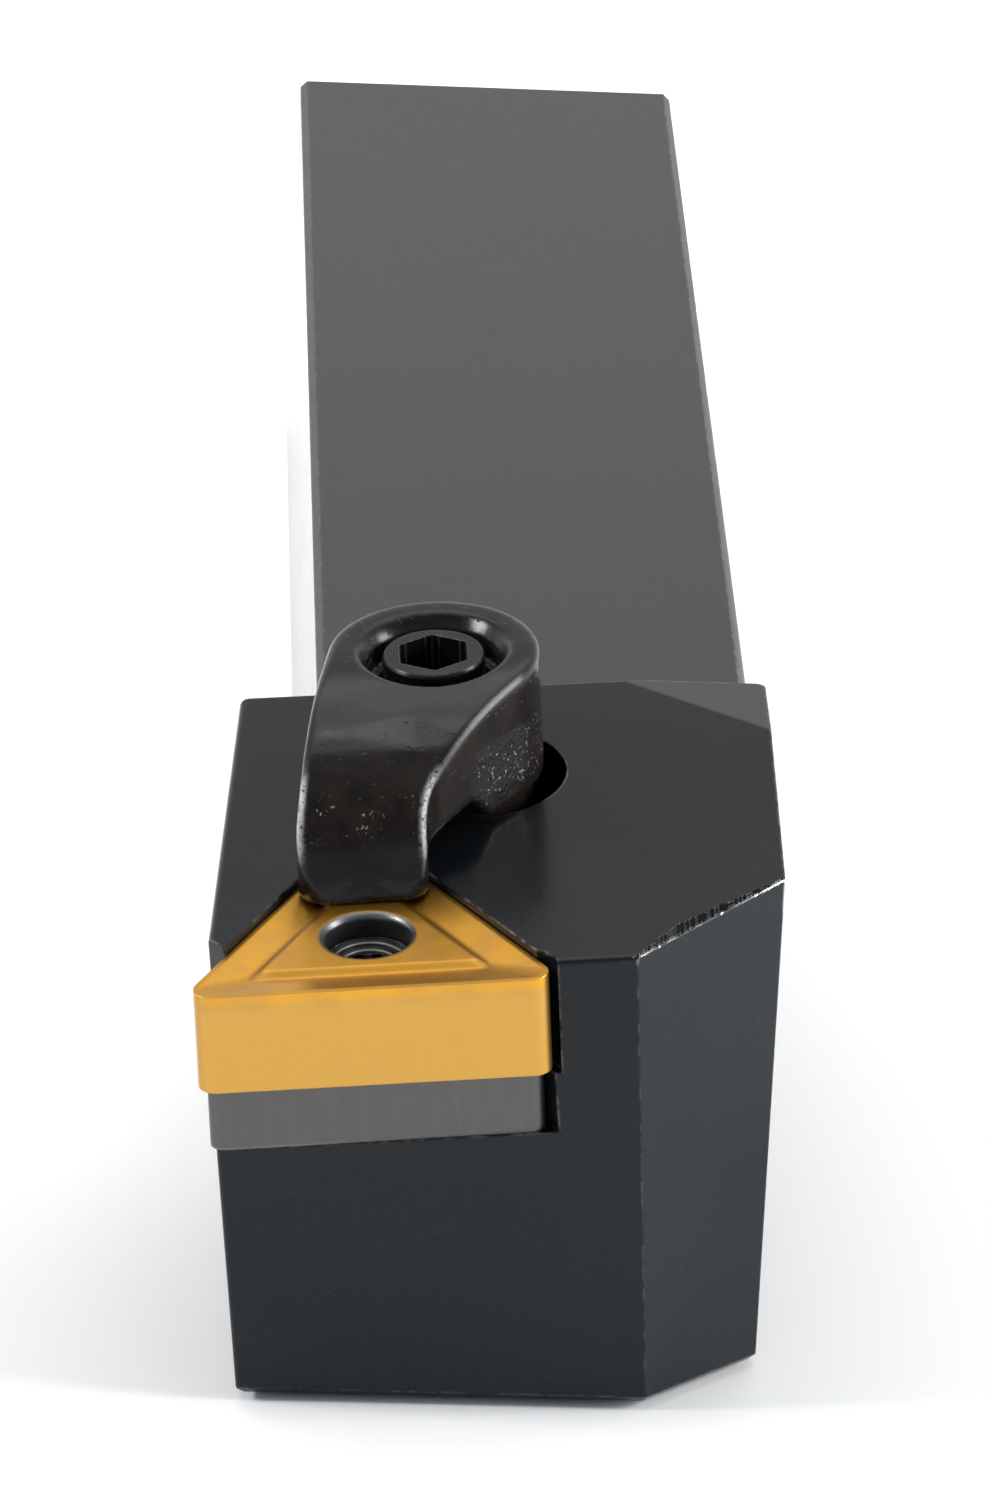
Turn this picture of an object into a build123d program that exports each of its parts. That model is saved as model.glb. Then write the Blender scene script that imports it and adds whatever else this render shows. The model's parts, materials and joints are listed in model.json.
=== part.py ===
"""Offset facing tool holder for turning, with a clamped and pinned triangular insert.

Millimetres. The origin is on the rest face, on the shank's centre line, where the head meets
the shank. +Y runs back along the shank, +Z is up and -X is the tip's side.
"""
from build123d import *
from math import acos, atan2, cos, hypot, radians, sin, sqrt, tan
import os

os.makedirs("parts", exist_ok=True)

# ---- shank and head ----
shank_width = 20.0
shank_height = 20.0
overall_length = 125.0  # tip to the far end of the shank
edge_break = 0.35  # small chamfer along the ground shank and under the head
head_length = 26.7  # tip to the shoulder
head_rise = 4.7  # the head's flat back corner above the shank's top
tip_offset = 25.7  # tip to the far side of the shank
tip_overhang = 0.36  # tip beyond the head's side wall
side_flare = 4.2  # degrees, the tip side wall opens towards the tip
side_relief = 5.9  # degrees, the tip side wall leans in below the tip
front_setback = 0.9  # front wall behind the tip, at the tip's height
front_relief = 3.8  # degrees, the front wall leans back below the tip
corner_cut = 6.5  # the cut corner of the head, measured along the shank
corner_angle = 43.6  # degrees, that cut from square across the shank
head_corner_radius = 0.45  # upright back corners of the head
head_edge_radius = 0.25  # front and tip side edges of the head's top

# ---- insert seat ----
side_lean = 5.0  # degrees, the seat drops towards the tip's side
front_lean = 6.0  # degrees, the seat drops towards the front
lead_angle = 1.0  # degrees, the cutting edge falls back from the tip
top_above_insert = 0.38  # the head's sloping top above the insert's top
wall_gap = 0.05  # insert to the pocket's two walls
ledge_drop = 0.3  # the lower pocket starts this far under the insert
shim_wall_gap = 0.07  # shim to the lower pocket's walls
nose_relief = 0.4  # round clearance beside the insert's inner nose
apex_relief_radius = 1.15  # drilled corner of the pocket
wall_end = 4.1  # the thin wall beside the tip stops this far along the pocket
wall_end_angle = 58.0  # degrees, its blunt end

# ---- insert ----
insert_circle = 9.525  # inscribed circle of the triangle
insert_thickness = 4.76
nose_radius = 0.8
insert_hole = 3.81
hole_rounding = 0.25
land_width = 0.22
groove_depth = 0.2
groove_slope = 1.35  # from the land down to the groove's floor
groove_floor = 0.12
plateau_slope = 0.36  # from the groove's floor up to the middle
groove_corner_radius = 0.3

# ---- shim ----
shim_thickness = 3.18
shim_inset = 0.3
shim_corner_radius = 0.6
shim_set_back = 0.3  # the pin draws the shim back
shim_hole_gap = 0.15  # radial, round the lock pin's thread
shim_sink_depth = 0.8

# ---- lock pin ----
pin_thread = 5.0
pin_thread_length = 9.0
pin_post_gap = 0.075  # radial, in the insert's hole
pin_top_drop = 1.1  # below the insert's top
pin_dish_edge = 0.63  # the post's end is hollowed to a cone inside this edge
pin_dish_depth = 0.4
pin_collar_drop = 0.1  # below the shim's top
pin_socket = 2.0  # across flats
pin_socket_depth = 2.0
pin_fit = 0.05  # radial, in the holder's thread
sink_gap = 0.05  # collar to the shim's countersink
end_chamfer = 0.35

# ---- clamp, measured in the seat's own plane ----
screw_along = 3.7  # screw's axis from the insert's hole, along the cutting edge
screw_back = 13.66  # and square to it
boss_radius = 4.7
boss_top = 6.75  # above the insert's top
clamp_gap = 0.35  # under the boss, above the head's sloping top
heel_step = 0.5  # the heel is this much smaller in radius than the boss
heel_depth = 2.6  # into the head
heel_room = 0.9  # under the heel
recess_gap = 0.17  # heel to recess, along the finger
recess_near = 0.4  # the recess starts this much to the tip's side
recess_far = 1.34  # and runs on this much to the other
nose_start = 0.6  # finger's end behind the rim of the insert's hole
nose_near_side = 2.85  # finger's width to the tip's side of the hole
nose_far_side = 2.87
nose_corner_radius = 1.2
nose_wall_gap = 0.3  # finger's foot to the pocket's walls
nose_length = 1.85  # the finger widens behind this on the tip's side
throat_length = 2.55  # and behind this on the other
throat_radius = 2.6
bend_radius = 3.0
crown_run = 4.25  # side view of the finger: its back is crown_drop down at crown_run
crown_drop = 1.5
brow_run = 1.6  # and brow_drop down at brow_run
brow_drop = 3.75
clamp_edge_radius = 0.35
arch_run = 0.4  # the finger's underside rises this steeply behind the foot
arch_rise = 1.3
arch_top = 2.0
arch_end_run = 1.0
bore_counter_gap = 0.4  # radial, round the screw's end
bore_counter_depth = 1.6
bore_rim_run = 0.55
bore_rim_depth = 0.6

# ---- clamp screw, double ended ----
screw_diameter = 5.0
screw_fit = 0.05  # radial, in the clamp and in the holder
screw_top_drop = 0.25  # below the boss's top
screw_length = 18.0
screw_upper_thread = 7.5
neck_depth = 0.5
neck_length = 2.0
screw_end_chamfer = 0.3
screw_socket = 3.0  # across flats
screw_socket_depth = 3.5
socket_chamfer = 0.3
thread_end_room = 1.0  # the tapped holes go on past the screw's and the pin's ends

# ---- worked out from the sizes above ----
shank_length = overall_length - head_length
head_height = shank_height + head_rise
tip = Vector(shank_width / 2 - tip_offset, -head_length, shank_height)
insert_side = insert_circle * sqrt(3)
seat_normal = Vector(-tan(radians(side_lean)), -tan(radians(front_lean)), 1).normalized()
edge_rise = cos(radians(lead_angle)) * tan(radians(side_lean))
edge_rise += sin(radians(lead_angle)) * tan(radians(front_lean))
edge_direction = Vector(cos(radians(lead_angle)), sin(radians(lead_angle)), edge_rise).normalized()
back_direction = seat_normal.cross(edge_direction)
nose_along = insert_side / 2 - nose_radius * sqrt(3)
nose_front = insert_circle / 2 - nose_radius
nose_centre = tip + Vector(nose_radius, nose_radius, 0)
insert_centre = nose_centre + edge_direction * nose_along + back_direction * nose_front
screw_foot = insert_centre + edge_direction * screw_along + back_direction * screw_back
floor_depth = insert_thickness + shim_thickness
screw_top = boss_top - screw_top_drop
screw_radius = screw_diameter / 2
screw_bottom = screw_top - screw_length
pin_bottom = -floor_depth - pin_thread_length
heel_radius = boss_radius - heel_step
heel_bottom = top_above_insert - heel_depth

# the seat's frame: along the cutting edge, back, and up square to the insert's top
seat = Plane(origin=insert_centre, x_dir=edge_direction, z_dir=seat_normal)
middle = seat.offset(-insert_thickness / 2)
seat_section = Plane(origin=insert_centre, x_dir=back_direction, z_dir=edge_direction)
screw_seat = Plane(origin=screw_foot, x_dir=edge_direction, z_dir=seat_normal)
screw_section = Plane(origin=screw_foot, x_dir=back_direction, z_dir=edge_direction)
seat_axis = Axis(insert_centre, seat_normal)
screw_axis = Axis(screw_foot, seat_normal)


def rounded_triangle(inset, corner_radius, set_back=0):
    """Draws the insert's triangle in the open sketch, moved in by inset and then back."""
    with Locations((0, set_back)):
        RegularPolygon(insert_circle / 2 - inset, 3, major_radius=False, rotation=90)
    fillet(vertices(), corner_radius)


def pocket_outline(gap):
    """Draws the space between two walls that stand off the insert's back sides by gap."""
    apex = insert_circle + 2 * gap
    half_width = (apex + head_length) / sqrt(3)
    Polygon((0, apex), (-half_width, -head_length), (half_width, -head_length), align=None)


def boss_tangent(along, back, turn):
    """Gives the point where a line from a point of the finger's side touches the boss."""
    towards = atan2(back - screw_back, along - screw_along)
    away = acos(boss_radius / hypot(back - screw_back, along - screw_along))
    angle = towards + turn * away
    return (screw_along + boss_radius * cos(angle), screw_back + boss_radius * sin(angle))


# ---- holder: head and shank in one piece ----
left_wall = Plane(
    origin=(tip.X + tip_overhang, tip.Y, shank_height),
    x_dir=(sin(radians(side_flare)), cos(radians(side_flare)), 0),
    z_dir=(-cos(radians(side_flare)), sin(radians(side_flare)), -tan(radians(side_relief))),
)
front_wall = Plane(
    origin=(tip.X, tip.Y + front_setback, shank_height),
    x_dir=(cos(radians(lead_angle)), sin(radians(lead_angle)), 0),
    z_dir=(sin(radians(lead_angle)), -cos(radians(lead_angle)), -tan(radians(front_relief))),
)
cut_corner = Plane(
    origin=(shank_width / 2, tip.Y + front_setback + corner_cut, 0),
    x_dir=(cos(radians(corner_angle)), sin(radians(corner_angle)), 0),
    z_dir=(sin(radians(corner_angle)), -cos(radians(corner_angle)), 0),
)
head_width = tip_offset + head_height * sin(radians(side_relief))
shank_root = head_length / 4
cut_height = 2 * head_height
with BuildPart() as holder:
    with BuildSketch(Plane.XY):
        with Locations((shank_width / 2, 0)):
            Rectangle(head_width, head_length, align=(Align.MAX, Align.MAX))
    extrude(amount=head_height)
    split(bisect_by=left_wall, keep=Keep.BOTTOM)
    split(bisect_by=front_wall, keep=Keep.BOTTOM)
    split(bisect_by=cut_corner, keep=Keep.BOTTOM)
    upright = holder.edges().filter_by(lambda e: abs(e.tangent_at(0.5).Z) > 0.9)
    fillet(upright.group_by(Axis.Y)[-1], head_corner_radius)
    split(bisect_by=seat.offset(top_above_insert), keep=Keep.BOTTOM)
    foot = holder.faces().sort_by(Axis.Z)[0]
    chamfer(foot.edges().sort_by(Axis.Y)[:-1], edge_break)
    for wall in (front_wall, left_wall):
        wall_edges = holder.edges().filter_by(
            lambda e: abs(wall.to_local_coords(e.center()).Z) < 0.001
        )
        fillet(wall_edges.sort_by(Axis.Z)[-1], head_edge_radius)
    # shank
    with BuildSketch(Plane.XZ.offset(shank_root)):
        with Locations((0, shank_height / 2)):
            Rectangle(shank_width, shank_height)
        chamfer(vertices(), edge_break)
    extrude(amount=-shank_length - shank_root)
    chamfer(holder.faces().sort_by(Axis.Y)[-1].edges(), edge_break)
    # pocket for the insert and, stepped in below it, for the shim
    with BuildSketch(seat.offset(-insert_thickness - ledge_drop)):
        pocket_outline(wall_gap)
        with Locations((0, 2 * nose_front)):
            Circle(apex_relief_radius)
        with Locations((nose_along, -nose_front)):
            Circle(nose_radius + nose_relief)
    extrude(amount=cut_height, mode=Mode.SUBTRACT)
    with BuildSketch(seat.offset(-floor_depth)):
        pocket_outline(shim_wall_gap - shim_inset + shim_set_back / 2)
        with Locations((0, 2 * nose_front)):
            Circle(apex_relief_radius)
    extrude(amount=shim_thickness, mode=Mode.SUBTRACT)
    # blunt end of the thin wall beside the tip
    wall_end_along = wall_end * cos(radians(60)) - insert_side / 2
    wall_end_back = wall_end * sin(radians(60)) - insert_circle / 2
    with BuildSketch(seat.offset(-floor_depth)):
        with Locations(Location((wall_end_along, wall_end_back, 0), (0, 0, -wall_end_angle))):
            Rectangle(insert_circle, insert_circle / 2, align=(Align.CENTER, Align.MAX))
    extrude(amount=cut_height, mode=Mode.SUBTRACT)
    # recess for the clamp's heel, long enough to swing the clamp in
    with BuildSketch(seat.offset(heel_bottom - heel_room)):
        with Locations((screw_along + (recess_far - recess_near) / 2, screw_back)):
            SlotCenterToCenter(recess_near + recess_far, 2 * (heel_radius + recess_gap))
    extrude(amount=cut_height, mode=Mode.SUBTRACT)
    # tapped holes for the clamp screw and for the lock pin
    with BuildSketch(screw_seat.offset(screw_bottom - thread_end_room)):
        Circle(screw_radius + screw_fit)
    extrude(amount=screw_length, mode=Mode.SUBTRACT)
    with BuildSketch(seat.offset(pin_bottom - thread_end_room)):
        Circle(pin_thread / 2 + pin_fit)
    extrude(amount=pin_thread_length + thread_end_room, mode=Mode.SUBTRACT)
holder.part.label = "holder_body"
export_step(holder.part, "parts/holder_body.step")

# ---- insert: double sided, so the upper half is drawn and mirrored ----
floor_inset = land_width + groove_slope
plateau_inset = floor_inset + groove_floor
rounding_middle = hole_rounding * (1 - sqrt(0.5))
with BuildPart() as insert:
    with BuildSketch(middle):
        rounded_triangle(0, nose_radius)
    extrude(amount=insert_thickness / 2)
    # groove inside the land, with a slope down and a shorter one up to the middle
    with BuildSketch(seat):
        rounded_triangle(land_width, nose_radius - land_width)
    with BuildSketch(seat.offset(-groove_depth)):
        rounded_triangle(floor_inset, groove_corner_radius)
    loft(mode=Mode.SUBTRACT)
    with BuildSketch(seat.offset(-groove_depth)):
        rounded_triangle(plateau_inset, groove_corner_radius)
    with BuildSketch(seat):
        rounded_triangle(plateau_inset + plateau_slope, groove_corner_radius)
    loft()
    # hole with a rounded rim
    with BuildSketch(seat_section):
        with BuildLine():
            Line((0, 0), (insert_hole / 2 + hole_rounding, 0))
            ThreePointArc(
                (insert_hole / 2 + hole_rounding, 0),
                (insert_hole / 2 + rounding_middle, -rounding_middle),
                (insert_hole / 2, -hole_rounding),
            )
            Polyline(
                (insert_hole / 2, -hole_rounding),
                (insert_hole / 2, -insert_thickness / 2),
                (0, -insert_thickness / 2),
                (0, 0),
            )
        make_face()
    revolve(axis=seat_axis, mode=Mode.SUBTRACT)
    mirror(about=middle)
insert.part.label = "insert"
export_step(insert.part, "parts/insert.step")

# ---- shim under the insert, countersunk for the pin's collar ----
shim_hole_radius = pin_thread / 2 + shim_hole_gap
shim_sink_radius = shim_hole_radius + shim_sink_depth
with BuildPart() as shim:
    with BuildSketch(seat.offset(-floor_depth)):
        rounded_triangle(shim_inset, shim_corner_radius, shim_set_back)
    extrude(amount=shim_thickness)
    with BuildSketch(seat_section):
        with BuildLine():
            Polyline(
                (0, -insert_thickness),
                (shim_sink_radius, -insert_thickness),
                (shim_hole_radius, -insert_thickness - shim_sink_depth),
                (shim_hole_radius, -floor_depth),
                (0, -floor_depth),
                close=True,
            )
        make_face()
    revolve(axis=seat_axis, mode=Mode.SUBTRACT)
shim.part.label = "shim"
export_step(shim.part, "parts/shim.step")

# ---- lock pin: threaded below, conical collar in the shim, post in the insert ----
pin_radius = pin_thread / 2
post_radius = insert_hole / 2 - pin_post_gap
collar_level = -insert_thickness - pin_collar_drop
collar_radius = shim_sink_radius - pin_collar_drop - sink_gap
dish_level = -pin_top_drop - pin_dish_depth
with BuildPart() as pin:
    with BuildSketch(seat_section):
        with BuildLine():
            Polyline(
                (0, pin_bottom),
                (pin_radius - end_chamfer, pin_bottom),
                (pin_radius, pin_bottom + end_chamfer),
                (pin_radius, collar_level - collar_radius + pin_radius),
                (collar_radius, collar_level),
                (post_radius, collar_level),
                (post_radius, -pin_top_drop),
                (post_radius - pin_dish_edge, dish_level),
                (0, dish_level),
                close=True,
            )
        make_face()
    revolve(axis=seat_axis)
    with BuildSketch(seat.offset(dish_level)):
        RegularPolygon(pin_socket / 2, 6, major_radius=False)
    extrude(amount=-pin_socket_depth, mode=Mode.SUBTRACT)
pin.part.label = "lock_pin"
export_step(pin.part, "parts/lock_pin.step")

# ---- clamp: the finger's plan and its side view cross, with a boss and a heel ----
boss_bottom = top_above_insert + clamp_gap
boss_front = screw_back - boss_radius
boss_end = screw_back + boss_radius
nose_reach = insert_hole / 2 + hole_rounding + nose_start
nose_back = nose_reach + nose_length
throat_back = nose_reach + throat_length
nose_half_width = max(nose_near_side, nose_far_side)
foot_back = insert_circle + 2 * wall_gap - sqrt(3) * (nose_half_width + nose_wall_gap)
with BuildPart() as clamp:
    with BuildSketch(seat) as plan:
        with BuildLine():
            Polyline(
                (screw_along, screw_back),
                boss_tangent(-nose_near_side, nose_back, -1),
                (-nose_near_side, nose_back),
                (-nose_near_side, nose_reach),
                (nose_far_side, nose_reach),
                (nose_far_side, throat_back),
                boss_tangent(nose_far_side, throat_back, 1),
                close=True,
            )
        make_face()
        fillet(plan.vertices().group_by(Axis.Y)[0], nose_corner_radius)
        throat = plan.vertices().sort_by_distance((nose_far_side, throat_back, 0))[0]
        fillet(throat, throat_radius)
        bend = plan.vertices().sort_by_distance((-nose_near_side, nose_back, 0))[0]
        fillet(bend, bend_radius)
        with Locations((screw_along, screw_back)):
            Circle(boss_radius)
    extrude(amount=boss_top)
    with BuildSketch(seat_section):
        with BuildLine():
            Spline(
                (screw_back, boss_top),
                (nose_reach + crown_run, boss_top - crown_drop),
                (nose_reach + brow_run, boss_top - brow_drop),
                (nose_reach, 0),
                tangents=((-1, 0), (-0.2, -1)),
            )
            Polyline(
                (nose_reach, 0),
                (foot_back, 0),
                (foot_back + arch_run, arch_rise),
                (boss_front - arch_end_run, arch_top),
                (boss_front, boss_bottom),
                (boss_end, boss_bottom),
                (boss_end, boss_top),
                (screw_back, boss_top),
            )
        make_face()
    extrude(amount=boss_end, both=True, mode=Mode.INTERSECT)
    top_faces = clamp.faces().filter_by(
        lambda f: f.normal_at().dot(seat_normal) > 0.3
    )
    rim = ShapeList()
    for face in top_faces:
        rim += face.edges()
    counts = [sum(1 for o in rim if o.is_same(e)) for e in rim]
    outer = ShapeList(e for e, n in zip(rim, counts) if n == 1)
    outer = outer.filter_by(lambda e: e.geom_type != GeomType.LINE)
    fillet(outer, clamp_edge_radius)
    # heel and stepped bore
    with BuildSketch(screw_seat.offset(boss_bottom)):
        Circle(heel_radius)
    extrude(amount=-clamp_gap - heel_depth)
    with BuildSketch(screw_section):
        with BuildLine():
            Polyline(
                (0, boss_top),
                (screw_radius + bore_counter_gap + bore_rim_run, boss_top),
                (screw_radius + bore_counter_gap, boss_top - bore_rim_depth),
                (screw_radius + bore_counter_gap, boss_top - bore_counter_depth),
                (screw_radius + screw_fit, boss_top - bore_counter_depth),
                (screw_radius + screw_fit, heel_bottom),
                (0, heel_bottom),
                close=True,
            )
        make_face()
    revolve(axis=screw_axis, mode=Mode.SUBTRACT)
clamp.part.label = "clamp"
export_step(clamp.part, "parts/clamp.step")

# ---- clamp screw: opposite threads at its two ends, a neck between them ----
neck_radius = screw_radius - neck_depth
neck_top = screw_top - screw_upper_thread - neck_depth
neck_bottom = neck_top - neck_length
with BuildPart() as screw:
    with BuildSketch(screw_section):
        with BuildLine():
            Polyline(
                (0, screw_top),
                (screw_radius - screw_end_chamfer, screw_top),
                (screw_radius, screw_top - screw_end_chamfer),
                (screw_radius, neck_top + neck_depth),
                (neck_radius, neck_top),
                (neck_radius, neck_bottom),
                (screw_radius, neck_bottom - neck_depth),
                (screw_radius, screw_bottom + screw_end_chamfer),
                (screw_radius - screw_end_chamfer, screw_bottom),
                (0, screw_bottom),
                close=True,
            )
        make_face()
    revolve(axis=screw_axis)
    with BuildSketch(screw_seat.offset(screw_top)):
        RegularPolygon(screw_socket / 2, 6, major_radius=False)
    extrude(amount=-screw_socket_depth, mode=Mode.SUBTRACT)
    with BuildSketch(screw_seat.offset(screw_top)):
        Circle(screw_socket / sqrt(3))
    extrude(amount=-socket_chamfer, taper=45, mode=Mode.SUBTRACT)
screw.part.label = "clamp_screw"
export_step(screw.part, "parts/clamp_screw.step")
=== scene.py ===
# %% [markdown]
# # A turning tool holder with a clamped insert
# The tool is a square steel shank with a head that carries a small triangular cutting insert.
# A shim lies under the insert, a pin goes up through its hole, and a top clamp presses it down.
# The measured solids are loaded first, and nothing here moves or reshapes them: this lesson
# gives them finishes, and swaps in finer pieces where a real part has more than a plain solid.

# %% Load the measured solids
import bpy
import json
from math import cos, degrees, pi, radians, sin
from mathutils import Matrix, Vector

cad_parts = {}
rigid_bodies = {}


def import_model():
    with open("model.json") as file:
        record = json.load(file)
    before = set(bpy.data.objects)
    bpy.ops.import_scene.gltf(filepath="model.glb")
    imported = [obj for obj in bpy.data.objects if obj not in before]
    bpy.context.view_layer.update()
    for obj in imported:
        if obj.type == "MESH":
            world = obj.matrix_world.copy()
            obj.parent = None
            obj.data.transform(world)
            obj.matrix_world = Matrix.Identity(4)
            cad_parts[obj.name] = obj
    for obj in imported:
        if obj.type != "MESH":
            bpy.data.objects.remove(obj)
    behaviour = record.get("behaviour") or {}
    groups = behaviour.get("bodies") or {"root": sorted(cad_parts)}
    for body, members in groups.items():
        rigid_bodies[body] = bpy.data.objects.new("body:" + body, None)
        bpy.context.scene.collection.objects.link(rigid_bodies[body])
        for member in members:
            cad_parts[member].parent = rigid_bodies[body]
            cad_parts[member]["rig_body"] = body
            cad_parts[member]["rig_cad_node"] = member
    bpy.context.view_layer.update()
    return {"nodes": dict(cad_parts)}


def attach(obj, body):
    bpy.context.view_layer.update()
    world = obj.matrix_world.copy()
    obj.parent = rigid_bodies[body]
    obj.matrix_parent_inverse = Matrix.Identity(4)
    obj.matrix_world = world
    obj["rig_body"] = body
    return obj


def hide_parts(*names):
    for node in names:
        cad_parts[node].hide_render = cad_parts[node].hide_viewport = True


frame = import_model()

print("solids:", sorted(frame["nodes"]))

# %% [markdown]
# ## The tilted seat
# The insert doesn't lie flat: its seat drops towards the tip, and the pin, the clamp and the
# clamp's screw all stand square to that seat. Three directions and two points describe it.
# They could be worked out from the insert's faces, but written down once they serve every
# pattern and every piece that has to line up with the insert.

# %% Directions of the seat
MM = 0.001
ALONG = Vector((0.9958839, 0.0173832, 0.0889556))  # along the front cutting edge
BACK = Vector((-0.0264863, 0.9944112, 0.1021996))  # square to it, away from the front
UP = Vector((-0.0866819, -0.1041350, 0.9907786))  # out of the seat
INSERT_MIDDLE = Vector((-8.169951, -21.840340, 21.015490)) * MM  # on its top face
SCREW_FOOT = Vector((-4.846983, -8.192365, 22.740672)) * MM  # the same height, on the screw
SEAT = Matrix((ALONG, BACK, UP)).transposed()
print("the seat leans by", round(degrees(UP.angle(Vector((0, 0, 1)))), 1), "degrees")

# %% [markdown]
# ## The camera
# A small tool is viewed from some way off through a long lens. A short lens close by would show
# as much of it, but its square shank would narrow visibly towards the back. The camera's three
# directions are written out, because aiming it at a point would leave its roll open.

# %% Place the camera
RIGHT = Vector((0.99855, -0.02599, 0.04709))
DOWN = Vector((0.03386, -0.37658, -0.92577))
FORWARD = Vector((0.04179, 0.92602, -0.37515))
CAMERA_PLACE = (-0.0216756, -0.4350652, 0.1972823)
FRAME_HEIGHT = 1500  # pixels
FOCAL_LENGTH = 10361.9  # in the same pixels
SENSOR_SIZE = 36  # mm, along the frame's longer side

lens = bpy.data.cameras.new("long_lens")
lens.lens = FOCAL_LENGTH * SENSOR_SIZE / FRAME_HEIGHT
lens.sensor_width = SENSOR_SIZE
lens.sensor_fit = "AUTO"
lens.clip_start, lens.clip_end = 0.01, 5
camera = bpy.data.objects.new("camera", lens)
bpy.context.scene.collection.objects.link(camera)
turn = Matrix((RIGHT, -DOWN, -FORWARD)).transposed().to_4x4()
camera.matrix_world = Matrix.Translation(CAMERA_PLACE) @ turn
bpy.context.scene.camera = camera
print("lens:", round(lens.lens, 1), "mm")

# %% [markdown]
# ## Shader maths in plain Python
# A finish is a small sum: this much noise, that much wear. Such a sum could be wired up node by
# node, but it is easier to read as Python. A `Wire` stands for an output socket, and adding or
# multiplying wires adds the Math nodes.

# %% Wires that work like numbers
def plug(tree, value, socket):
    """Sets a socket to a value, or links it if the value is a wire."""
    if isinstance(value, Wire):
        tree.links.new(value.socket, socket)
    else:
        socket.default_value = value


class Wire:
    """An output socket that can be used like a number."""

    def __init__(self, tree, socket):
        self.tree, self.socket = tree, socket

    def sum(self, operation, *values, clamp=False):
        """One Math node in the wire's tree, working on these values."""
        node = self.tree.nodes.new("ShaderNodeMath")
        node.operation, node.use_clamp = operation, clamp
        for value, socket in zip(values, node.inputs):
            plug(self.tree, value, socket)
        return Wire(self.tree, node.outputs[0])

    def __add__(self, other):
        return self.sum("ADD", self, other)

    def __radd__(self, other):
        return self.sum("ADD", other, self)

    def __sub__(self, other):
        return self.sum("SUBTRACT", self, other)

    def __rsub__(self, other):
        return self.sum("SUBTRACT", other, self)

    def __mul__(self, other):
        return self.sum("MULTIPLY", self, other)

    def __rmul__(self, other):
        return self.sum("MULTIPLY", other, self)

    def __truediv__(self, other):
        return self.sum("DIVIDE", self, other)

    def __pow__(self, other):
        return self.sum("POWER", self, other)

    def kept(self):
        """The same value, kept between 0 and 1."""
        return self.sum("ADD", self, 0.0, clamp=True)

    def over(self, low, high):
        """0 below low and 1 above high, with an even rise between them."""
        return ((self - low) / (high - low)).kept()


# %% [markdown]
# ## Sheets of nodes
# A `Sheet` is a node tree with one method that makes any node. Each kind of node could have a
# method of its own, but they differ only in their settings and sockets, so one will do, and the
# room's walls and every finish can share it.

# %% Nodes on a sheet
class Sheet:
    """A node tree, with one method that makes any node."""

    def __init__(self, tree):
        self.tree = tree

    def add(self, kind, settings=None, sockets=None, output=0):
        """One node of that kind. Its settings are set first, then its sockets."""
        node = self.tree.nodes.new("ShaderNode" + kind)
        for name, value in (settings or {}).items():
            if name == "stops":
                ramp = node.color_ramp.elements
                while len(ramp) < len(value):
                    ramp.new(0.5)
                for stop, (place, colour) in zip(ramp, value):
                    stop.position, stop.color = place, colour
            else:
                setattr(node, name, value)
        for name, value in (sockets or {}).items():
            plug(self.tree, value, node.inputs[name])
        return Wire(self.tree, node.outputs[output])

    def mix(self, factor, first, second):
        """A colour between first and second, through the Mix node's sockets for colours."""
        sockets = {0: factor, 6: first, 7: second}
        return self.add("Mix", {"data_type": "RGBA"}, sockets, output=2)

    def axes(self, vector):
        """The three parts of a place or a direction, each as a wire."""
        split = self.add("SeparateXYZ", None, {0: vector})
        return [Wire(self.tree, part) for part in split.socket.node.outputs]


# %% [markdown]
# ## What finishes share
# A `Finish` is the sheet of one material, with the few patterns that all these finishes need.
# Real corners are never quite sharp, and here a Bevel node rounds them in the light alone.
# Bevelling the mesh would do it too, but these solids keep their measured shape. The same node
# tells where the corners are, and so where they wear.

# %% A finish and its patterns
class Finish(Sheet):
    """A procedural material: one Principled shader and the nodes that feed it."""

    def __init__(self, name, **constants):
        self.material = bpy.data.materials.new(name)
        self.material.use_nodes = True
        super().__init__(self.material.node_tree)
        self.shader = self.tree.nodes["Principled BSDF"]
        self.feed(**constants)

    def feed(self, **sockets):
        """Sets the shader's sockets, or links wires to them."""
        for name, value in sockets.items():
            plug(self.tree, value, self.shader.inputs[name.replace("_", " ")])

    def millimetres(self, origin=None):
        """Places on the piece in millimetres, or on the tilted seat from that origin."""
        start, turned = (0, 0, 0), (0, 0, 0)
        if origin is not None:
            start, turned = origin, SEAT.to_euler()
        place = self.add("TexCoord", output="Object")
        layout = {"Vector": place, "Location": start, "Rotation": turned, "Scale": (MM,) * 3}
        return self.add("Mapping", {"vector_type": "TEXTURE"}, layout)

    def stretched(self, place, factors):
        """Places scaled along each axis, for grain that runs one way."""
        return self.add("VectorMath", {"operation": "MULTIPLY"}, {0: place, 1: factors})

    def noise(self, place, scale, detail, roughness=0.55):
        """Soft mottling, from 0 to 1."""
        sockets = {"Vector": place, "Scale": scale, "Detail": detail, "Roughness": roughness}
        return self.add("TexNoise", None, sockets)

    def corners(self, radius):
        """The surface's direction, rounded off at corners, and how much that turned it."""
        soft = self.add("Bevel", {"samples": 4}, {"Radius": radius * MM})
        plain = self.add("NewGeometry", output="Normal")
        both = self.add("VectorMath", {"operation": "DOT_PRODUCT"}, {0: soft, 1: plain}, "Value")
        return soft, 1 - both

    def relief(self, height, normal, strength, distance):
        """A bump from a height, over an already rounded surface."""
        sockets = {"Height": height, "Normal": normal, "Strength": strength}
        sockets["Distance"] = distance * MM
        return self.add("Bump", None, sockets)

    def done(self):
        """Says how large the finish has become, and hands over its material."""
        print(self.material.name, "nodes:", len(self.tree.nodes))
        return self.material


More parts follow.
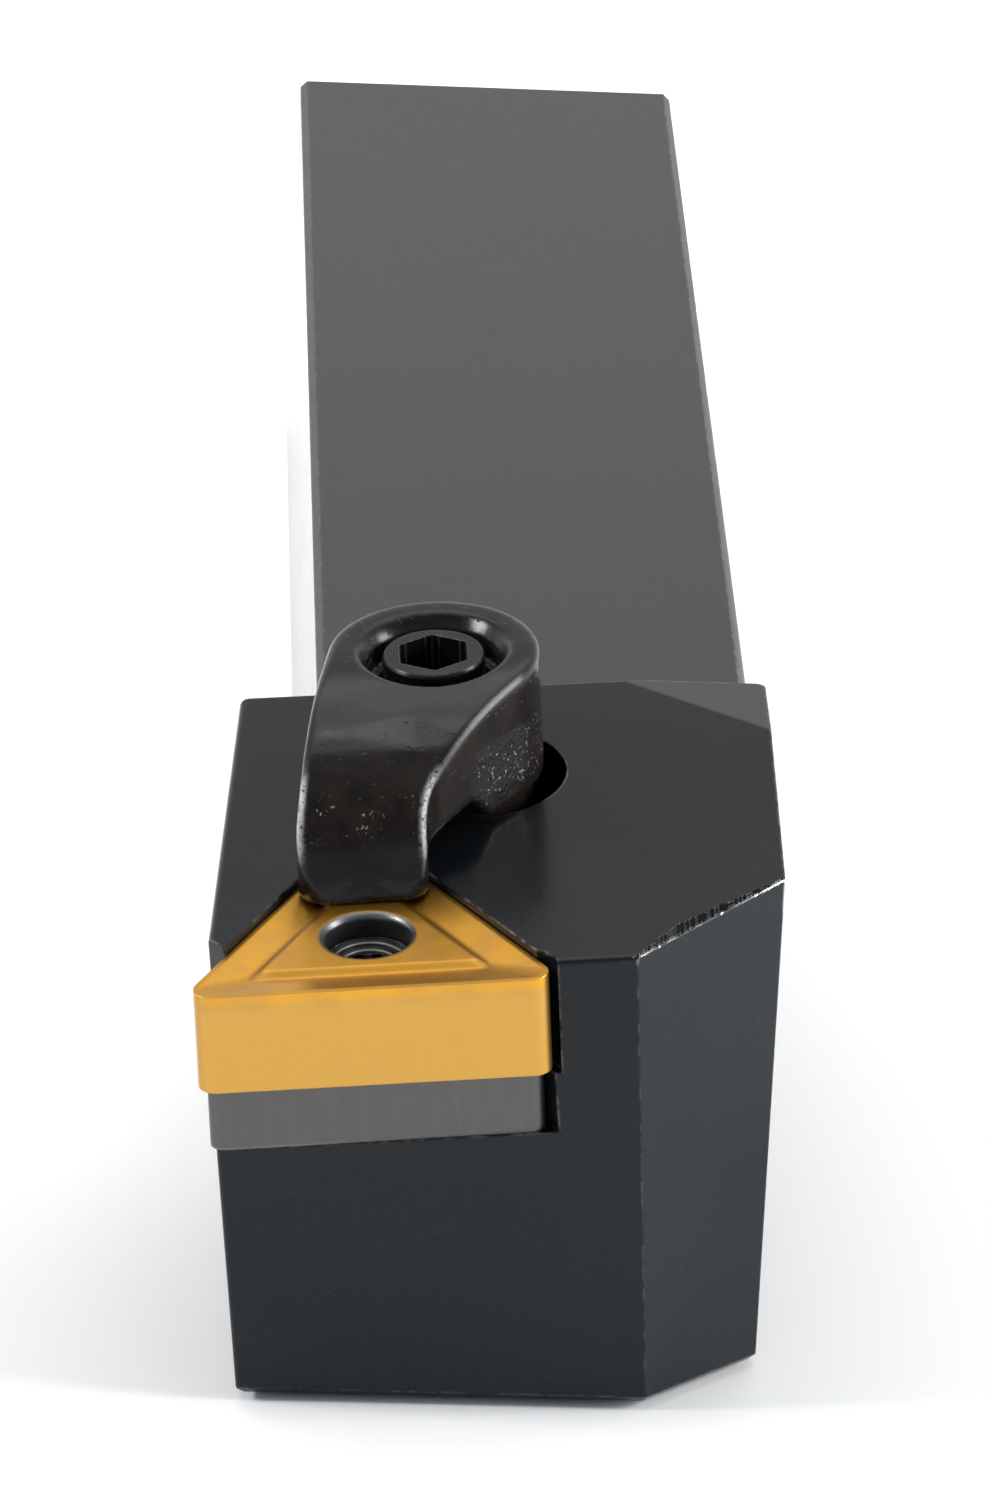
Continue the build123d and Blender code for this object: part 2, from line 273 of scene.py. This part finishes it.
def grey(level, warm=0.0):
    """A neutral colour, or one slightly warm or cold."""
    return (level * (1 + warm), level, level * (1 - warm), 1)


# %% [markdown]
# ## The floor
# The tool lies on a sheet of pale paper. A flat plane is enough, with a hint of mottling so
# that it isn't one even tone. It lies a little below the solids, because two faces at the same
# height would flicker through each other.

# %% Lay the floor
FLOOR_SIZE, FLOOR_DROP = 6, 0.0003  # metres

bpy.ops.mesh.primitive_plane_add(size=FLOOR_SIZE, location=(0, 0, -FLOOR_DROP))
floor = bpy.context.active_object
floor.name = "floor"
paper = Finish("pale_paper", Roughness=0.9)
spot = paper.noise(paper.millimetres(), 0.02, 2)
paper.feed(Base_Color=paper.mix(spot, grey(0.90), grey(0.94)))
floor.data.materials.append(paper.done())

# %% [markdown]
# ## The room's walls
# Dark, satin steel has hardly any colour of its own: a face shows whatever lies where its
# reflection points. So the room is built from what each face should show. The wall behind is
# pale low down, for the shank's top, and dimmer above, for the tilted head. The front is darker
# and a little blue, and nearly black above that, for the faces that look forward. A painted
# surround would do too, but two ramps over the height are easier to adjust face by face.

# %% Paint the room's walls
WALL = [(0.0, grey(1.05)), (0.30, grey(1.03)), (0.42, grey(0.91)),  # height, colour
        (0.56, grey(0.52)), (0.75, grey(0.48)), (1.0, grey(0.5))]
FRONT = [(0.0, (0.30, 0.40, 0.48, 1)), (0.60, (0.32, 0.42, 0.50, 1)),
         (0.65, grey(0.09)), (0.85, grey(0.16)), (1.0, grey(0.4))]
FRONT_ENDS, WALL_STARTS = -0.35, 0.15  # how far back, from -1 in front to 1 behind

sky = bpy.data.worlds.new("soft_room")
sky.use_nodes = True
bpy.context.scene.world = sky
bpy.context.scene.view_settings.view_transform = "Standard"
room = Sheet(sky.node_tree)
_, behind, height = room.axes(room.add("TexCoord", output="Generated"))
wall = room.add("ValToRGB", {"stops": WALL}, {0: height})
front = room.add("ValToRGB", {"stops": FRONT}, {0: height})
shade = room.mix(behind.over(FRONT_ENDS, WALL_STARTS), front, wall)
plug(room.tree, shade, room.tree.nodes["Background"].inputs["Color"])
print("room nodes:", len(room.tree.nodes))

# %% [markdown]
# ## The lamps
# The walls alone would light the tool evenly, with no highlight. Three soft lamps add those:
# one overhead, towards the back, and one at either side. Bare points of light would leave hard
# shadows and tiny glints, so each lamp is a wide pane. A narrow spot from above keeps the paper
# white to the left of the tool.

# %% Hang the lamps
def lamp(name, place, aim, width, height, power):
    """A soft lamp at place, pointing at aim, in metres and watts."""
    light = bpy.data.lights.new(name, "AREA")
    light.shape, light.size, light.size_y, light.energy = "RECTANGLE", width, height, power
    body = bpy.data.objects.new(name, light)
    bpy.context.scene.collection.objects.link(body)
    way = Vector(aim) - Vector(place)
    turned = way.to_track_quat("-Z", "Y").to_matrix().to_4x4()
    body.matrix_world = Matrix.Translation(place) @ turned
    print("lamp:", name, power, "W")


HEAD = (0, 0, 0.02)  # both side lamps point at it
GLOW_PLACE, GLOW_POWER, GLOW_CONE = (-0.055, 0.085, 0.6), 22, radians(15)  # metres, watts

lamp("overhead", place=(0.0, 0.24, 0.60), aim=(0, 0.24, 0), width=0.64, height=0.64, power=1.8)
lamp("left_side", place=(-0.60, -0.06, 0.42), aim=HEAD, width=0.20, height=0.20, power=3.2)
lamp("right_side", place=(0.55, -0.05, 0.19), aim=HEAD, width=0.22, height=0.36, power=4.6)
glow = bpy.data.lights.new("floor_glow", "SPOT")
glow.energy, glow.spot_size, glow.spot_blend = GLOW_POWER, GLOW_CONE, 1.0
glow.shadow_soft_size = 0.05
glow_body = bpy.data.objects.new("floor_glow", glow)
bpy.context.scene.collection.objects.link(glow_body)
glow_body.location = GLOW_PLACE

# %% [markdown]
# ## The filed edge of the holder's cut corner
# The top edge of the head's cut corner was touched by a file: it is chipped into teeth, with a
# burr at either end. The teeth are darkened with painted shade, and a painted highlight runs
# along the burr on the facet's side. The teeth could be cut into the mesh, but they are a few
# tenths of a millimetre deep and the solid keeps its measured shape, so they are a colour and
# a slope, laid out by how far a place is behind that edge.

# %% The filed edge
CUT_TURN = radians(43.6)  # how far that edge is turned, seen from above
CUT_ACROSS, CUT_AHEAD = 10, 19.3  # mm right of the origin and ahead of it, a point on the edge


def filed_corner_painted_light(finish, place, upward, corner):
    """The cut corner's painted highlight along its burr, the painted shade in its teeth, and how
    far a place is into a tooth, in mm.
    """
    across, behind, tall = finish.axes(place)
    filed = across.over(2.3, 2.8) * tall.over(21.5, 22) * behind.over(-17, -18)
    teeth = finish.noise(finish.stretched(place, (1, 0, 0)), 2.6, 1)
    ends = (1 - across.over(3.2, 4.0) + across.over(8.6, 9.4)).kept()
    # painted highlight: a bright rim below the edge, on the facet's side, at either end and on
    # some teeth
    burr_highlight = filed * corner.over(0.02, 0.1) * upward.over(0.5, 0.3)
    burr_highlight = burr_highlight * (ends + teeth.over(0.62, 0.66)).kept()
    inward = (behind + CUT_AHEAD) * cos(CUT_TURN) - (across - CUT_ACROSS) * sin(CUT_TURN)
    depth = 0.15 + 0.5 * across.over(9.4, 6.0) * across.over(3.4, 5.0)
    depth = depth + 0.12 * teeth.over(0.4, 0.6)
    # painted shade: the teeth darkened above the edge, on the top's side; their slant is a real
    # bump
    shaded_notch = filed * upward.over(0.5, 0.7) * inward.over(depth, depth - 0.08)
    return burr_highlight, shaded_notch, inward - depth


# %% [markdown]
# ## Black oxide on the holder
# The holder is milled and ground steel that was blackened in a hot salt bath. A dark metal would
# mirror too much, so the layer is a black body under a weak clear reflection, which is strong
# only at low angles. The tone drifts a little between two bluish blacks, the ground shank keeps
# fine lines, which are noise stretched along it, and corners are rubbed bright.

# %% The holder's finish
SHANK = -0.3, 0.3  # mm behind the origin: the head gives way to the shank here
BLUE_BLACK, PALER_BLACK = (0.0045, 0.006, 0.0074, 1), (0.0065, 0.008, 0.0095, 1)


def black_oxide():
    finish = Finish("black_oxide", IOR=1.34, Specular_Tint=(0.93, 0.97, 1, 1))
    place = finish.millimetres()
    sideways, _, upward = finish.axes(finish.add("NewGeometry", output="Normal"))
    soft, corner = finish.corners(0.2)
    shank = finish.axes(place)[1].over(*SHANK)
    side = sideways.sum("ABSOLUTE", sideways).over(0.9, 0.98)
    lines = finish.noise(finish.stretched(place, (7, 0.3, 7)), 1.0, 4)
    grain = finish.noise(place, 9.0, 4)
    drift = finish.noise(place, 0.12, 3)
    chips = finish.noise(place, 1.7, 4).over(0.45, 0.62)
    rubbed = (corner.over(0.05, 0.2) * chips).kept()
    burr_highlight, shaded_notch, sunk = filed_corner_painted_light(finish, place, upward, corner)
    tone = finish.mix(drift.over(0.3, 0.7), BLUE_BLACK, PALER_BLACK)
    tone = finish.mix(grain.over(0.55, 0.8) * 0.4, tone, grey(0.035))
    tone = finish.mix(rubbed, tone, grey(0.30))
    # a painted highlight on the burr, then painted shade in the teeth
    tone = finish.mix(burr_highlight, tone, grey(0.85))
    tone = finish.mix(shaded_notch, tone, grey(0.002))
    bare = (rubbed * (1 - shaded_notch) + burr_highlight).kept()
    rough = 0.2 + shank * 0.12 + (lines - 0.5) * 0.1 + (drift - 0.5) * 0.06
    rough = rough - side * shank * 0.15
    slant = finish.relief(sunk * shaded_notch, soft, 1.0, 0.9)
    finish.feed(Base_Color=tone, Roughness=rough, Metallic=bare * 0.7)
    finish.feed(Normal=finish.relief(lines * 0.4 + grain * 0.6, slant, 0.25, 0.006))
    return finish.done()


holder_finish = black_oxide()

# %% [markdown]
# ## Gold coating on the insert
# The insert is sintered carbide under a few thousandths of titanium nitride. The coating is
# a real metal, so its gold colour is the colour of its reflections. One even gold would look
# painted, so the top, thin spots and worn corners each have a tone, and the slope inside its
# rim is darkened with painted shade. They are told apart by how far a place is from the
# insert's middle, on the tilted seat.

# %% The insert's finish
EDGE_ACROSS, EDGE_BACK = 0.866, 0.5  # the way from the middle to a slanting edge
RIM = 4.35, 4.1  # mm from the middle, where the rim gives way to the slope inside it
SLOPE_FROM, SLOPE_TO = (2.66, 2.76), (3.12, 3.02)  # mm from the middle
HOLE = 2.05, 2.2  # mm, the hole's radius
NEAR_TOP = -1, -0.6  # mm from the top face
GOLD, PALE_GOLD = (0.56, 0.305, 0.066, 1), (0.60, 0.335, 0.078, 1)
# SHADED_SLOPE_GOLD is painted shade for the slope inside the rim
TOP_GOLD, SHADED_SLOPE_GOLD = (0.68, 0.34, 0.042, 1), (0.40, 0.20, 0.03, 1)
THIN_GOLD, WORN_GOLD = (0.46, 0.25, 0.075, 1), (0.80, 0.58, 0.27, 1)


def gold_coating():
    finish = Finish("gold_coating", Metallic=1.0)
    place = finish.millimetres(INSERT_MIDDLE)
    across, back, up = finish.axes(place)
    right = across * EDGE_ACROSS + back * EDGE_BACK
    left = back * EDGE_BACK - across * EDGE_ACROSS
    side = right.sum("MAXIMUM", right.sum("MAXIMUM", right, left), back * -1)
    inner = side.over(*RIM) * up.over(*NEAR_TOP)
    soft, corner = finish.corners(0.07 + inner * 0.22)
    grain = finish.noise(place, 14.0, 4)
    film = finish.noise(place, 0.55, 3).over(0.42, 0.66) * up.over(*NEAR_TOP)
    reach = (across * across + back * back) ** 0.5
    hole = 1 - reach.over(*HOLE)
    shaded_slope = side.over(*SLOPE_FROM) * side.over(*SLOPE_TO) * inner
    wear_and_highlight = corner.over(0.03, 0.14) * (1 - inner) * finish.noise(place, 2.4, 4).over(0.4, 0.6)
    tone = finish.mix(grain, GOLD, PALE_GOLD)
    tone = finish.mix(up.over(-0.6, -0.3), tone, TOP_GOLD)
    # painted shade darkens the slope inside the rim
    tone = finish.mix(shaded_slope * 0.9, tone, SHADED_SLOPE_GOLD)
    tone = finish.mix(film * 0.4, tone, THIN_GOLD)
    tone = finish.mix(wear_and_highlight * 0.75, tone, WORN_GOLD)
    tone = finish.mix(hole, tone, grey(0.20))
    finish.feed(Base_Color=tone, Roughness=0.34 + (grain - 0.5) * 0.14)
    finish.feed(Normal=finish.relief(grain, soft, 0.22, 0.006))
    return finish.done()


insert_finish = gold_coating()

# %% [markdown]
# ## Bare carbide on the shim
# The shim has no coating: ground carbide is a flat mid grey with a faint speckle. One even
# noise would do for that, but the shim's sides were ground upwards, so a second noise is
# stretched that way.

# %% The shim's finish
def bare_carbide():
    finish = Finish("bare_carbide", Metallic=0.9)
    place = finish.millimetres(INSERT_MIDDLE)
    soft, corner = finish.corners(0.3)
    grain = finish.noise(place, 10.0, 4)
    ground = finish.noise(finish.stretched(place, (5, 5, 0.3)), 1.0, 3)
    tone = finish.mix(grain * 0.4 + ground * 0.6, grey(0.09, 0.02), grey(0.125, 0.05))
    tone = finish.mix(corner.over(0.02, 0.2) * 0.7, tone, grey(0.4))
    finish.feed(Base_Color=tone, Roughness=0.42 + (grain - 0.5) * 0.2)
    finish.feed(Normal=finish.relief(grain, soft, 0.3, 0.01))
    return finish.done()


shim_finish = bare_carbide()

# %% [markdown]
# ## Cast skin on the clamp
# The clamp is cast and only its bore is machined. The blackened skin is grainy, with pits and
# rubbed specks that catch the light. A painted highlight of pale chips runs down the clamp's
# side edges near its front, low down. Pits and grain could be dug into the mesh, but the finest
# are smaller than its squares, so all of them are a bump.

# %% The clamp's finish
BROWN_BLACK, PALER_BROWN = (0.007, 0.0055, 0.0048, 1), (0.014, 0.011, 0.009, 1)


def cast_skin():
    finish = Finish("cast_skin", IOR=1.37)
    place = finish.millimetres(SCREW_FOOT)
    across, back, up = finish.axes(place)
    soft, corner = finish.corners(0.3)
    grain = finish.noise(place, 5.0, 5, 0.6)
    lumps = finish.noise(place, 0.8, 2)
    pits = 1 - finish.noise(place, 2.6, 2).over(0.27, 0.33)
    flank = across.over(1.2, 2.0) * up.over(1.2, 1.8) * (1 - up.over(3.7, 4.3))
    band = back.over(-8.2, -8.8) * up.over(2.4, 3.0) * up.over(5.2, 4.6)
    patch = finish.noise(place, 0.75, 1).over(0.5, 0.56) * band
    specks = finish.noise(place, 5.5, 2).over(0.63, 0.68) * (patch + flank).kept()
    rubbed = (corner.over(0.05, 0.22) * grain.over(0.45, 0.62)).kept()
    rubbed = (rubbed + specks).kept()
    # painted highlight: pale chips down the side edges near the front, low down
    wear_and_highlight = corner.over(0.01, 0.03) * back.over(-7.2, -7.8)
    wear_and_highlight = wear_and_highlight * up.over(1.6, 2.4) * up.over(5.6, 5.0) * grain.over(0.38, 0.46)
    tone = finish.mix(lumps.over(0.3, 0.7), BROWN_BLACK, PALER_BROWN)
    tone = finish.mix(rubbed * 0.7, tone, grey(0.42, 0.04))
    # the painted highlight on those side edges
    tone = finish.mix(wear_and_highlight, tone, grey(0.9))
    rough = 0.15 + grain * 0.08 + pits * 0.15
    height = grain * (0.3 + flank * 1.5) + lumps * 0.1 - pits * 0.5
    finish.feed(Base_Color=tone, Roughness=rough, Metallic=rubbed * 0.5)
    finish.feed(Normal=finish.relief(height, soft, 0.45, 0.05))
    return finish.done()


clamp_finish = cast_skin()

# %% [markdown]
# ## Turned steel on the pin and the screw
# Both are turned and hardened, then blackened. A lathe leaves fine rings around the axis. They
# are far too shallow to model, so they are a sine of the distance from the axis, as a bump and
# as a painted highlight on their crests. One function makes both finishes, because only the
# rings and that painted highlight differ.

# %% The turned parts' finish
STEEL_BLACK, PALER_STEEL = (0.003, 0.0034, 0.0038, 1), (0.007, 0.0075, 0.008, 1)


def turned_steel(name, foot, ring, crest_highlight):
    """Blackened steel with lathe rings that far apart around the upright at foot, their crests
    painted with a highlight as strong as crest_highlight.
    """
    finish = Finish(name, IOR=1.3)
    place = finish.millimetres(foot)
    soft, corner = finish.corners(0.08)
    across, back, _ = finish.axes(place)
    reach = (across * across + back * back) ** 0.5
    rings = reach.sum("SINE", reach * (2 * pi / ring))
    grain = finish.noise(place, 6.0, 3)
    # rubbed corners are wear; the ring crests are a painted highlight, as strong as
    # crest_highlight
    wear_and_crest_highlight = (corner.over(0.06, 0.25) * grain.over(0.35, 0.6)).kept()
    wear_and_crest_highlight = (wear_and_crest_highlight + rings.over(0.55, 0.9) * crest_highlight).kept()
    tone = finish.mix(grain.over(0.3, 0.7), STEEL_BLACK, PALER_STEEL)
    tone = finish.mix(wear_and_crest_highlight * 0.8, tone, grey(0.40))
    finish.feed(Base_Color=tone, Roughness=0.24 + (grain - 0.5) * 0.12, Metallic=wear_and_crest_highlight)
    finish.feed(Normal=finish.relief(rings * 0.5 + grain * 0.5, soft, 0.5, ring * 0.05))
    return finish.done()


screw_finish = turned_steel("screw_steel", SCREW_FOOT, ring=0.12, crest_highlight=0.1)
pin_finish = turned_steel("pin_steel", INSERT_MIDDLE, ring=0.3, crest_highlight=0.7)

# %% [markdown]
# ## Working on one piece at a time
# An operator acts on everything that is selected, and a fresh import leaves all of it selected,
# so each step first picks the one piece that it is about. A solid arrives as loose triangles
# and is left alone. What gets reshaped is a copy of it, with its triangles joined first.

# %% Pick and copy a piece
def pick(piece):
    """Makes piece the only selected object, and the active one."""
    bpy.ops.object.select_all(action="DESELECT")
    piece.hide_set(False)
    piece.select_set(True)
    bpy.context.view_layer.objects.active = piece


def welded_copy(node, name):
    """A copy of a solid whose loose triangles are joined, with flat faces made whole again."""
    pick(frame["nodes"][node])
    bpy.ops.object.duplicate()
    piece = bpy.context.active_object
    bpy.ops.object.parent_clear(type="CLEAR_KEEP_TRANSFORM")
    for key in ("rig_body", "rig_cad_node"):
        del piece[key]
    piece.name = piece.data.name = name
    bpy.ops.object.mode_set(mode="EDIT")
    bpy.ops.mesh.select_all(action="SELECT")
    bpy.ops.mesh.remove_doubles(threshold=0.002 * MM)
    bpy.ops.mesh.dissolve_limited(angle_limit=radians(0.5))
    bpy.ops.object.mode_set(mode="OBJECT")
    bpy.ops.mesh.customdata_custom_splitnormals_clear()
    print(name, "faces:", len(piece.data.polygons))
    return piece


# %% [markdown]
# ## The clamp, cast rather than milled
# A casting has no sharp edge: every corner of the sand mould left a soft one, and the skin is
# never quite flat. Bevels could round the edges one by one, but the clamp's many curved faces
# meet at odd angles. Rebuilding the whole skin as fine even squares and then smoothing it rounds
# all of them at once, as casting does.

# %% Shape the clamp
SKIN_SQUARE = 0.1  # mm
SMOOTH_ROUNDS = 12

clamp = welded_copy("clamp", "cast_clamp")
remesh = clamp.modifiers.new("even_skin", "REMESH")
remesh.mode, remesh.voxel_size = "VOXEL", SKIN_SQUARE * MM
bpy.ops.object.modifier_apply(modifier=remesh.name)
soften = clamp.modifiers.new("soft_edges", "SMOOTH")
soften.factor, soften.iterations = 0.5, SMOOTH_ROUNDS
bpy.ops.object.modifier_apply(modifier=soften.name)
bpy.ops.object.shade_smooth()
print("clamp faces:", len(clamp.data.polygons))

# %% [markdown]
# ## Turning a piece from its outline
# A round piece is drawn as half of its outline and spun about its axis, as on a lathe. Stacked
# cylinders would make the same steps, but each would have to be joined to the next. The piece
# is turned upright and then stood on the tilted seat.

# %% Turn a piece
LATHE_STEPS = 64  # facets around a turned piece


def stand_on_seat(piece, foot):
    """Stands an upright piece square to the seat at foot, and applies that to its mesh."""
    piece.matrix_world = Matrix.Translation(foot) @ SEAT.to_4x4()
    bpy.ops.object.transform_apply(location=True, rotation=True, scale=True)


def turned(name, outline, foot):
    """A solid of revolution about the seat's upright at foot."""
    bpy.ops.mesh.primitive_plane_add(size=1, enter_editmode=True)
    bpy.ops.mesh.delete(type="VERT")
    bpy.ops.object.mode_set(mode="OBJECT")
    piece = bpy.context.active_object
    piece.name = piece.data.name = name
    points = [(radius * MM, 0, height * MM) for radius, height in outline]
    piece.data.from_pydata(points, [(k, k + 1) for k in range(len(points) - 1)], [])
    bpy.ops.object.mode_set(mode="EDIT")
    bpy.ops.mesh.select_all(action="SELECT")
    bpy.ops.mesh.spin(steps=LATHE_STEPS, angle=2 * pi, center=(0, 0, 0), axis=(0, 0, 1))
    bpy.ops.mesh.select_all(action="SELECT")
    bpy.ops.mesh.remove_doubles(threshold=0.001 * MM)
    bpy.ops.mesh.normals_make_consistent(inside=False)
    bpy.ops.object.mode_set(mode="OBJECT")
    stand_on_seat(piece, foot)
    return piece


# %% [markdown]
# ## Machine the clamp's bore
# The bore is drilled after casting, so its rims are crisp again. It could be kept out of the
# smoothing by a vertex group, but a cutter works as the shop does: shaped like the drill and
# countersink, it is turned from one outline, set up on the tilted axis and subtracted.

# %% Cut the bore
BORE = [(0, -4), (2.57, -4), (2.57, 5.15), (2.92, 5.15),  # radius, height in mm
        (2.92, 6.15), (3.66, 7.0), (0, 7.0)]


def cut_away(piece, cutter):
    """Subtracts cutter from piece, and removes the cutter."""
    pick(piece)
    cut = piece.modifiers.new("cut", "BOOLEAN")
    cut.operation, cut.object, cut.solver = "DIFFERENCE", cutter, "EXACT"
    bpy.ops.object.modifier_apply(modifier=cut.name)
    bpy.data.objects.remove(cutter)


def settle(piece, body, node):
    """piece moves with body and stands for the solid node, which is hidden."""
    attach(piece, body)
    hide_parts(node)


cut_away(clamp, turned("bore_cutter", BORE, SCREW_FOOT))
pick(clamp)
bpy.ops.object.shade_smooth_by_angle(angle=radians(32))
settle(clamp, "clamp", "clamp")
print("clamp faces with its bore:", len(clamp.data.polygons))

# %% [markdown]
# ## A thread that climbs
# A thread is one small triangle swept up a helix by a Screw modifier: the same idea as a thread
# tool running along a lathe. Rings stacked at the pitch would look alike from afar, but up
# close a real thread climbs.

# %% Sweep a thread
PITCH = 0.8  # mm that the thread climbs in a turn
TOOTH = (2.05, 0), (2.49, 0.37), (2.05, 0.74)  # its root, crest and root, as radius, height
HELIX_STEPS = 40  # facets in a turn of the thread


def thread(name, low, turns):
    """A helical ridge from height low, around the screw's axis."""
    bpy.ops.mesh.primitive_circle_add(vertices=3, radius=MM)
    ridge = bpy.context.active_object
    ridge.name = ridge.data.name = name
    for corner, (out, up) in zip(ridge.data.vertices, TOOTH):
        corner.co = (out * MM, 0, (low + up) * MM)
    sweep = ridge.modifiers.new("helix", "SCREW")
    sweep.axis, sweep.screw_offset, sweep.iterations = "Z", PITCH * MM, turns
    sweep.steps = sweep.render_steps = HELIX_STEPS
    bpy.ops.object.modifier_apply(modifier=sweep.name)
    bpy.ops.object.mode_set(mode="EDIT")
    bpy.ops.mesh.select_all(action="SELECT")
    bpy.ops.mesh.fill_holes(sides=3)
    bpy.ops.mesh.select_all(action="SELECT")
    bpy.ops.mesh.normals_make_consistent(inside=False)
    bpy.ops.object.mode_set(mode="OBJECT")
    stand_on_seat(ridge, SCREW_FOOT)
    return ridge


# %% [markdown]
# ## The clamp's screw
# The screw is a set screw with a thread at both ends and a hexagon socket. Its body is turned
# from an outline, the socket is cut by a six-sided cutter, and the threads are joined on. They
# could be cut out of the body too, but a ridge laid over it shows the same and is far quicker.

# %% Turn the screw and add its threads
SCREW = [(0, -11.5), (1.8, -11.5), (2.1, -11.2), (2.1, -3.2),  # radius, height in mm
         (1.98, -3.0), (1.98, -1.0), (2.1, -0.8), (2.1, 5.3),
         (2.27, 5.45), (2.27, 6.36), (2.16, 6.5), (0, 6.5)]
SOCKET_FLATS, SOCKET_DEPTH, SOCKET_MIDDLE = 3.0, 4, 5.0  # mm; the middle is above the foot

screw = turned("threaded_screw", SCREW, SCREW_FOOT)
socket_radius = SOCKET_FLATS / 2 / cos(pi / 6) * MM
bpy.ops.mesh.primitive_cylinder_add(vertices=6, radius=socket_radius, depth=SOCKET_DEPTH * MM)
socket = bpy.context.active_object
stand_on_seat(socket, SCREW_FOOT + UP * SOCKET_MIDDLE * MM)
cut_away(screw, socket)
upper, lower = thread("upper_thread", -0.9, 7), thread("lower_thread", -11.1, 9)
pick(screw)
upper.select_set(True)
lower.select_set(True)
bpy.ops.object.join()
bpy.ops.object.shade_smooth_by_angle(angle=radians(35))
settle(screw, "clamp_screw", "clamp_screw")
print("screw faces:", len(screw.data.polygons))

# %% [markdown]
# ## Dress the pieces
# The solids arrive with a plain stand-in colour each. Their finishes could be laid over it in
# further slots, but each piece is one material all over, so the stand-in goes.

# %% Give each piece its finish
def dress(piece, material):
    """The piece shows this material and no other."""
    piece.data.materials.clear()
    piece.data.materials.append(material)
    print(piece.name, "wears", material.name)


dress(frame["nodes"]["holder_body"], holder_finish)
dress(frame["nodes"]["insert"], insert_finish)
dress(frame["nodes"]["shim"], shim_finish)
dress(clamp, clamp_finish)
dress(screw, screw_finish)
dress(frame["nodes"]["lock_pin"], pin_finish)
